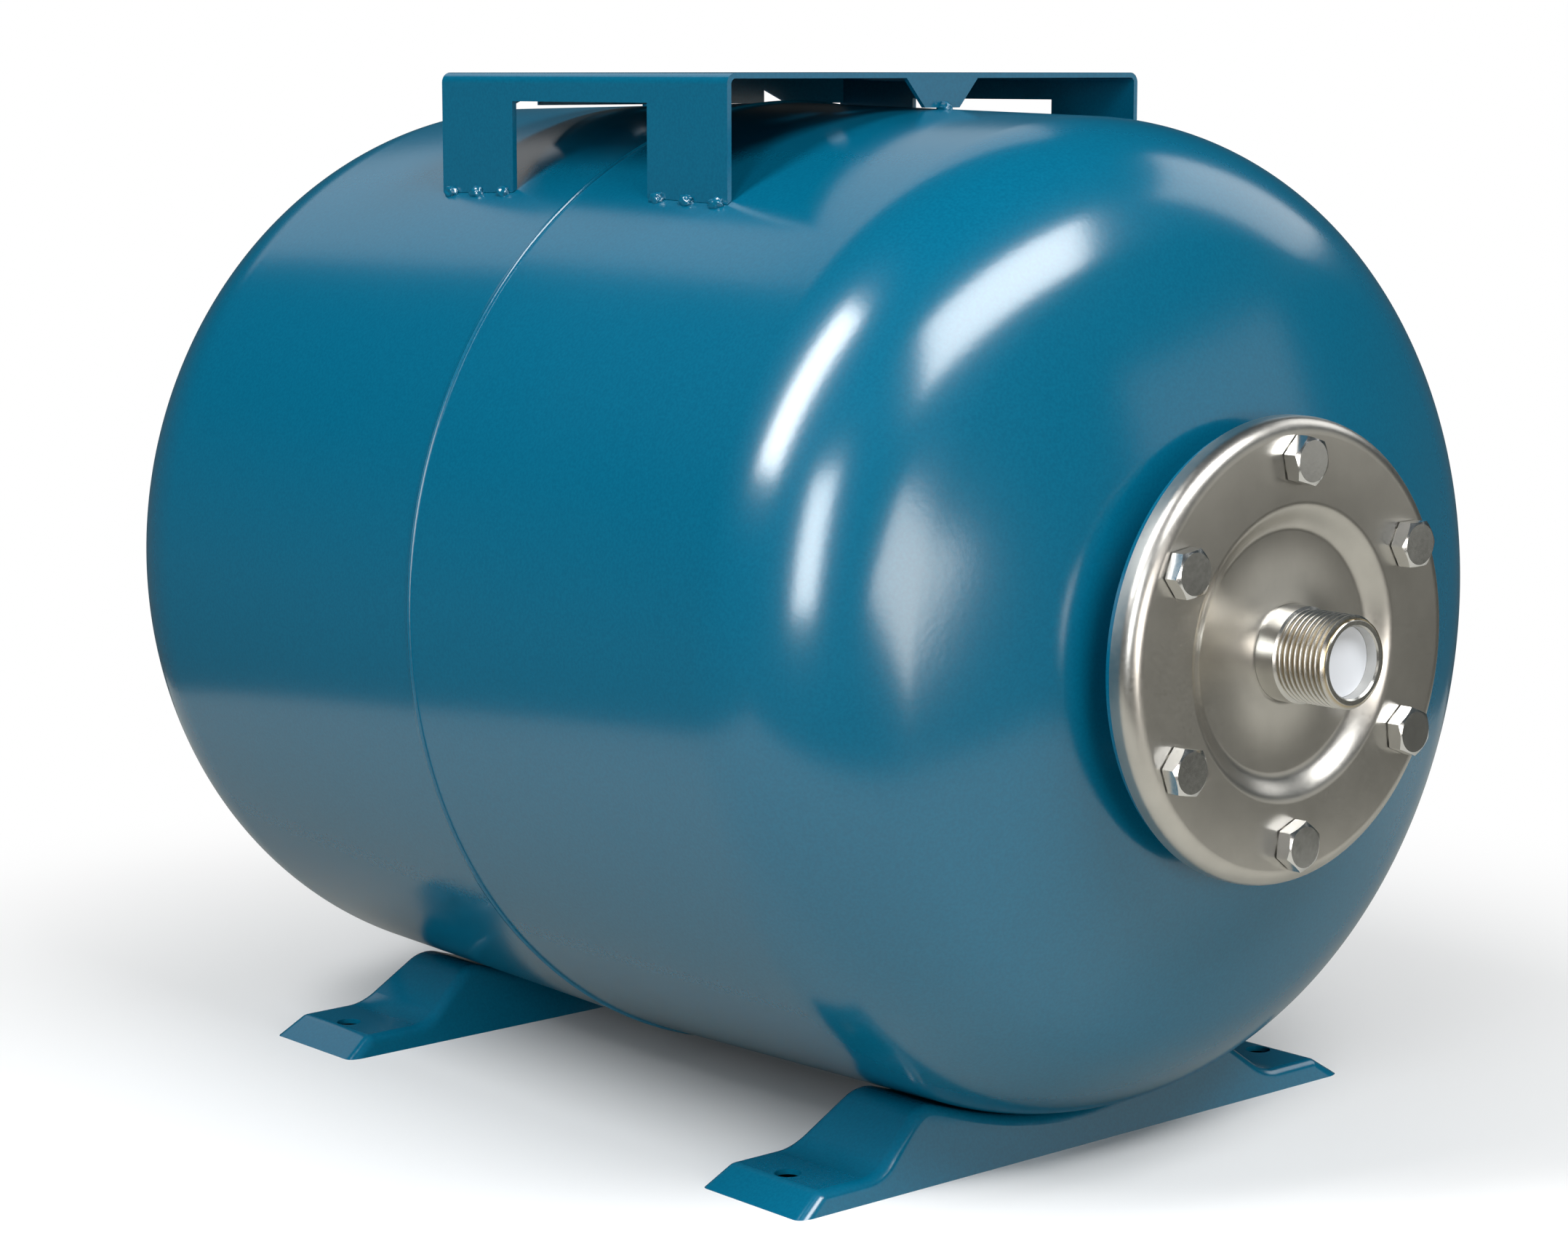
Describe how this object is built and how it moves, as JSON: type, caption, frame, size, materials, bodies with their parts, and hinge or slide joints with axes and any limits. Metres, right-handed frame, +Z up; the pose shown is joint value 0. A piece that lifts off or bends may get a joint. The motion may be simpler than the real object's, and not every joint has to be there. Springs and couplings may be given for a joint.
{
  "type": "expansion vessel",
  "caption": "Horizontal painted steel pressure vessel on two pressed feet, with a pump bracket on top, a bolted flange with a threaded nipple, a rubber bladder and an air valve.",
  "frame": {"origin": "on the floor, under the middle of the whole length, on the tank's centre plane", "axes": "+Z up, Y along the tank axis with the flange and nipple towards -Y, X across the tank"},
  "size_m": [0.381, 0.5906, 0.402],
  "materials": {
    "tank_paint": "satin gloss teal blue powder coat",
    "zinc_plate": "zinc plated pressed steel",
    "bolt_zinc": "bright zinc",
    "bladder_rubber": "matt",
    "seal_rubber": "matt",
    "white_plastic": "matt moulded",
    "cap_plastic": "fine matt moulded",
    "valve_brass": "turned",
    "spring_steel": "drawn wire"
  },
  "bodies": {
    "tank": {"front_shell": "tank_paint", "rear_shell": "tank_paint", "seam_weld": "tank_paint", "front_foot": "tank_paint", "rear_foot": "tank_paint", "pump_bracket": "tank_paint", "bracket_tack_welds": "tank_paint", "valve_boss_weld": "tank_paint", "neck_weld": "tank_paint", "neck_ring": "tank_paint", "valve_boss": "tank_paint", "flange_cover": "zinc_plate", "water_nipple": "zinc_plate", "nipple_weld": "zinc_plate", "flange_bolts": "bolt_zinc", "bladder": "bladder_rubber", "valve_gasket": "seal_rubber", "valve_stem": "valve_brass", "valve_core_body": "valve_brass", "valve_spring": "spring_steel"},
    "plug": {"transit_plug": "white_plastic"},
    "cap_carrier": {"cap_seal": "seal_rubber"},
    "cap": {"valve_cap": "cap_plastic"},
    "pin": {"valve_pin": "valve_brass", "valve_pin_seal": "seal_rubber"}
  },
  "joints": [
    {"name": "plug_pull", "type": "slide", "parent": "tank", "child": "plug", "axis": [0, -1, 0], "range_m": [0, 0.022]},
    {"name": "cap_lift", "type": "slide", "parent": "tank", "child": "cap_carrier", "axis": [0, 1, 0], "range_m": [0, 0.006]},
    {"name": "cap_turn", "type": "hinge", "parent": "cap_carrier", "child": "cap", "pos_m": [0, 0.2657, 0.2002], "axis": [0, 1, 0], "range_deg": [0, 1080]},
    {"name": "pin_press", "type": "slide", "parent": "tank", "child": "pin", "axis": [0, -1, 0], "range_m": [0, 0.0015], "stiffness_N_per_m": 1000, "springref_m": -0.002, "deforming": ["valve_spring"]}
  ],
  "couplings": [
    {"joint": "cap_turn", "follows": "cap_lift", "rad_per_m": 3141.6}
  ]
}
